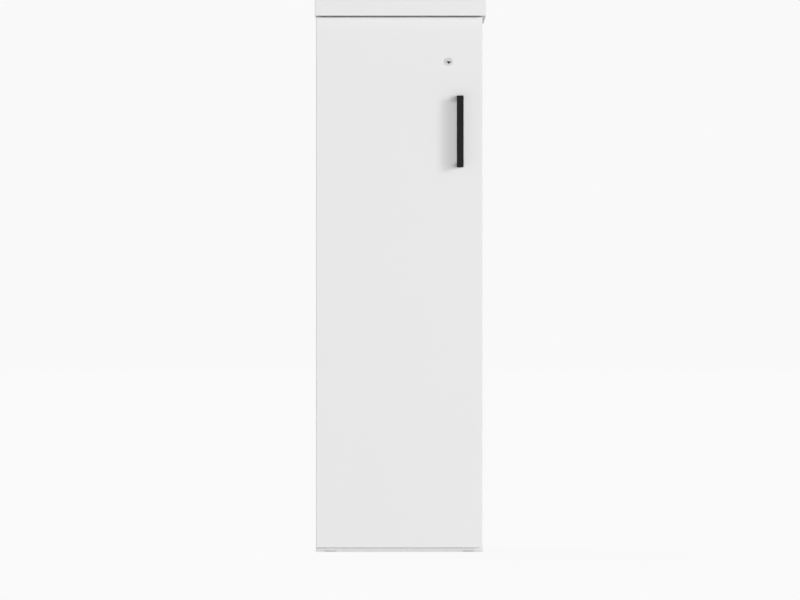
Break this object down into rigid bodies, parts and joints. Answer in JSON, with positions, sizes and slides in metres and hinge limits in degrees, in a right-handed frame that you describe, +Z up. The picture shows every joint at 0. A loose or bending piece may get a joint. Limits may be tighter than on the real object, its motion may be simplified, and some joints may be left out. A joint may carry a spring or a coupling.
{
  "type": "parcel locker",
  "caption": "Free-standing white laminate parcel locker with one full-height hinged door, cam lock, bow handle, adjustable shelves and low levelling feet.",
  "frame": {"origin": "middle of the footprint box at floor level, the footprint taken over the top and the handle", "axes": "+Z up, door faces -Y, hung on the -X side"},
  "size_m": [0.411, 0.483, 1.327],
  "materials": {
    "white_laminate": "white melamine laminate on particle board, fine grain, satin",
    "white_backing": "white lacquered fibreboard",
    "black_powder_coat": "fine black powder coat",
    "satin_nickel": "satin nickel plate",
    "zinc_plate": "bright zinc plate",
    "bright_steel": "bright steel",
    "foot_plastic": "pale grey moulded plastic",
    "buffer_plastic": "translucent soft plastic"
  },
  "bodies": {
    "cabinet": {"back_panel": "white_backing", "carcase_bottom_panel": "white_laminate", "carcase_top_panel": "white_laminate", "cover_top": "white_laminate", "foot_insert_back_left": "zinc_plate", "foot_insert_back_right": "zinc_plate", "foot_insert_front_left": "zinc_plate", "foot_insert_front_right": "zinc_plate", "hinge_arm_lower": "satin_nickel", "hinge_arm_middle": "satin_nickel", "hinge_arm_upper": "satin_nickel", "hinge_plate_lower": "satin_nickel", "hinge_plate_lower_screw_high": "zinc_plate", "hinge_plate_lower_screw_low": "zinc_plate", "hinge_plate_middle": "satin_nickel", "hinge_plate_middle_screw_high": "zinc_plate", "hinge_plate_middle_screw_low": "zinc_plate", "hinge_plate_upper": "satin_nickel", "hinge_plate_upper_screw_high": "zinc_plate", "hinge_plate_upper_screw_low": "zinc_plate", "hinge_screw_lower": "bright_steel", "hinge_screw_middle": "bright_steel", "hinge_screw_upper": "bright_steel", "keeper_screw_high": "zinc_plate", "keeper_screw_low": "zinc_plate", "left_side_panel": "white_laminate", "lock_keeper": "zinc_plate", "right_side_panel": "white_laminate", "shelf_lower": "white_laminate", "shelf_peg_lower_back_left": "zinc_plate", "shelf_peg_lower_back_right": "zinc_plate", "shelf_peg_lower_front_left": "zinc_plate", "shelf_peg_lower_front_right": "zinc_plate", "shelf_peg_upper_back_left": "zinc_plate", "shelf_peg_upper_back_right": "zinc_plate", "shelf_peg_upper_front_left": "zinc_plate", "shelf_peg_upper_front_right": "zinc_plate", "shelf_upper": "white_laminate"},
    "door": {"buffer_lower": "buffer_plastic", "buffer_upper": "buffer_plastic", "door_panel": "white_laminate", "handle": "black_powder_coat", "handle_screw_lower": "zinc_plate", "handle_screw_upper": "zinc_plate", "hinge_cup_lower": "satin_nickel", "hinge_cup_middle": "satin_nickel", "hinge_cup_upper": "satin_nickel", "hinge_pin_lower": "bright_steel", "hinge_pin_middle": "bright_steel", "hinge_pin_upper": "bright_steel", "lock_body": "satin_nickel", "lock_nut": "zinc_plate"},
    "lock_cylinder": {"lock_plug": "satin_nickel", "lock_cam": "zinc_plate", "cam_screw": "zinc_plate"},
    "foot_back_left_body": {"foot_back_left": "foot_plastic"},
    "foot_back_right_body": {"foot_back_right": "foot_plastic"},
    "foot_front_left_body": {"foot_front_left": "foot_plastic"},
    "foot_front_right_body": {"foot_front_right": "foot_plastic"}
  },
  "joints": [
    {"name": "door_swing", "type": "hinge", "parent": "cabinet", "child": "door", "pos_m": [-0.194, -0.2015, 0.65], "axis": [0, 0, -1], "range_deg": [0, 95]},
    {"name": "lock_turn", "type": "hinge", "parent": "door", "child": "lock_cylinder", "pos_m": [0.1158, -0.2095, 1.1782], "axis": [0, -1, 0], "range_deg": [0, 90]},
    {"name": "foot_back_left_height", "type": "slide", "parent": "cabinet", "child": "foot_back_left_body", "axis": [0, 0, -1], "range_m": [0, 0.01]},
    {"name": "foot_back_right_height", "type": "slide", "parent": "cabinet", "child": "foot_back_right_body", "axis": [0, 0, -1], "range_m": [0, 0.01]},
    {"name": "foot_front_left_height", "type": "slide", "parent": "cabinet", "child": "foot_front_left_body", "axis": [0, 0, -1], "range_m": [0, 0.01]},
    {"name": "foot_front_right_height", "type": "slide", "parent": "cabinet", "child": "foot_front_right_body", "axis": [0, 0, -1], "range_m": [0, 0.01]}
  ]
}
